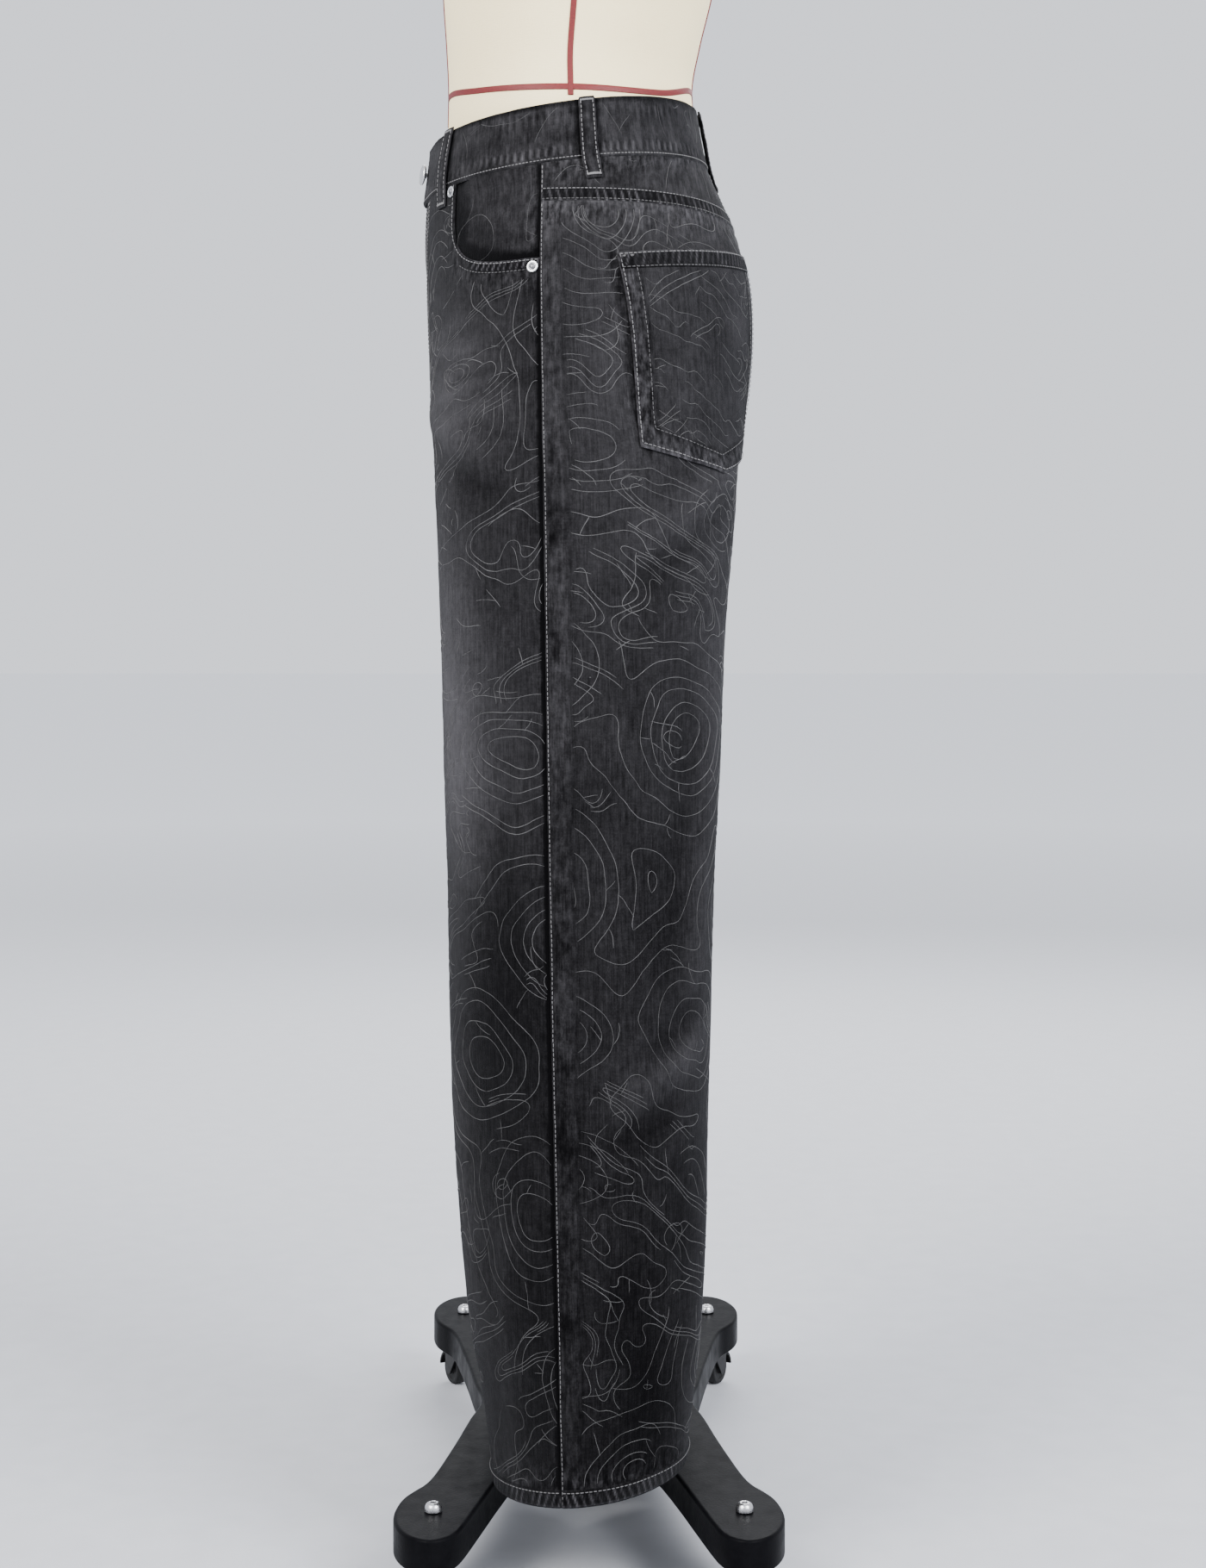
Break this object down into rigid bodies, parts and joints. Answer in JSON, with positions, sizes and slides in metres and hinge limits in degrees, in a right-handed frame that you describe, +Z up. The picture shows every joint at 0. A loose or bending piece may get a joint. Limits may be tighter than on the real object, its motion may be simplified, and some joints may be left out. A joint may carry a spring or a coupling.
{
  "type": "wide-leg jeans on a limbless dress form with a wheeled stand",
  "caption": "High-waisted wide-leg denim jeans with scoop front pockets, worn on a limbless trouser form that stands on a low wheeled base.",
  "frame": {"origin": "on the floor under the middle of the base, which is also under the form's pole", "axes": "+Z up; the jeans face -Y; +X is the wearer's left; the jeans' own centre plane is x = 0.100 because the pole runs down inside the right leg"},
  "size_m": [0.66, 0.298, 1.345],
  "materials": {
    "denim": "washed charcoal denim, rough",
    "garment_metal": "silver, satin",
    "form_canvas": "cream canvas, matt",
    "base_paint": "black, satin",
    "caster_plastic": "black",
    "stand_steel": "bright, satin"
  },
  "bodies": {
    "stand": {"front_left": "denim", "back_left": "denim", "yoke_left": "denim", "pocket_facing_left": "denim", "back_pocket_left": "denim", "front_right": "denim", "back_right": "denim", "yoke_right": "denim", "pocket_facing_right": "denim", "back_pocket_right": "denim", "waistband": "denim", "belt_loop_back": "denim", "belt_loop_left": "denim", "belt_loop_right": "denim", "belt_loop_front_left": "denim", "belt_loop_front_right": "denim", "button": "garment_metal", "rivet_left_side": "garment_metal", "rivet_left_front": "garment_metal", "rivet_right_side": "garment_metal", "rivet_right_front": "garment_metal", "form": "form_canvas", "pole": "stand_steel", "base": "base_paint", "bolt_front_left": "stand_steel", "bolt_front_right": "stand_steel", "bolt_back_left": "stand_steel", "bolt_back_right": "stand_steel"},
    "caster_front_left": {"caster_fork_front_left": "caster_plastic"},
    "roller_front_left": {"wheel_front_left": "caster_plastic"},
    "caster_front_right": {"caster_fork_front_right": "caster_plastic"},
    "roller_front_right": {"wheel_front_right": "caster_plastic"},
    "caster_back_left": {"caster_fork_back_left": "caster_plastic"},
    "roller_back_left": {"wheel_back_left": "caster_plastic"},
    "caster_back_right": {"caster_fork_back_right": "caster_plastic"},
    "roller_back_right": {"wheel_back_right": "caster_plastic"}
  },
  "joints": [
    {"name": "swivel_front_left", "type": "hinge", "parent": "stand", "child": "caster_front_left", "pos_m": [0.27, -0.119, 0.04], "axis": [0, 0, 1], "continuous": true},
    {"name": "roll_front_left", "type": "hinge", "parent": "caster_front_left", "child": "roller_front_left", "pos_m": [0.28472, -0.1275, 0.015], "axis": [0.5, 0.866, 0], "continuous": true},
    {"name": "swivel_front_right", "type": "hinge", "parent": "stand", "child": "caster_front_right", "pos_m": [-0.27, -0.119, 0.04], "axis": [0, 0, 1], "continuous": true},
    {"name": "roll_front_right", "type": "hinge", "parent": "caster_front_right", "child": "roller_front_right", "pos_m": [-0.28472, -0.1275, 0.015], "axis": [0.5, -0.866, 0], "continuous": true},
    {"name": "swivel_back_left", "type": "hinge", "parent": "stand", "child": "caster_back_left", "pos_m": [0.27, 0.119, 0.04], "axis": [0, 0, 1], "continuous": true},
    {"name": "roll_back_left", "type": "hinge", "parent": "caster_back_left", "child": "roller_back_left", "pos_m": [0.28472, 0.1275, 0.015], "axis": [-0.5, 0.866, 0], "continuous": true},
    {"name": "swivel_back_right", "type": "hinge", "parent": "stand", "child": "caster_back_right", "pos_m": [-0.27, 0.119, 0.04], "axis": [0, 0, 1], "continuous": true},
    {"name": "roll_back_right", "type": "hinge", "parent": "caster_back_right", "child": "roller_back_right", "pos_m": [-0.28472, 0.1275, 0.015], "axis": [-0.5, -0.866, 0], "continuous": true}
  ]
}
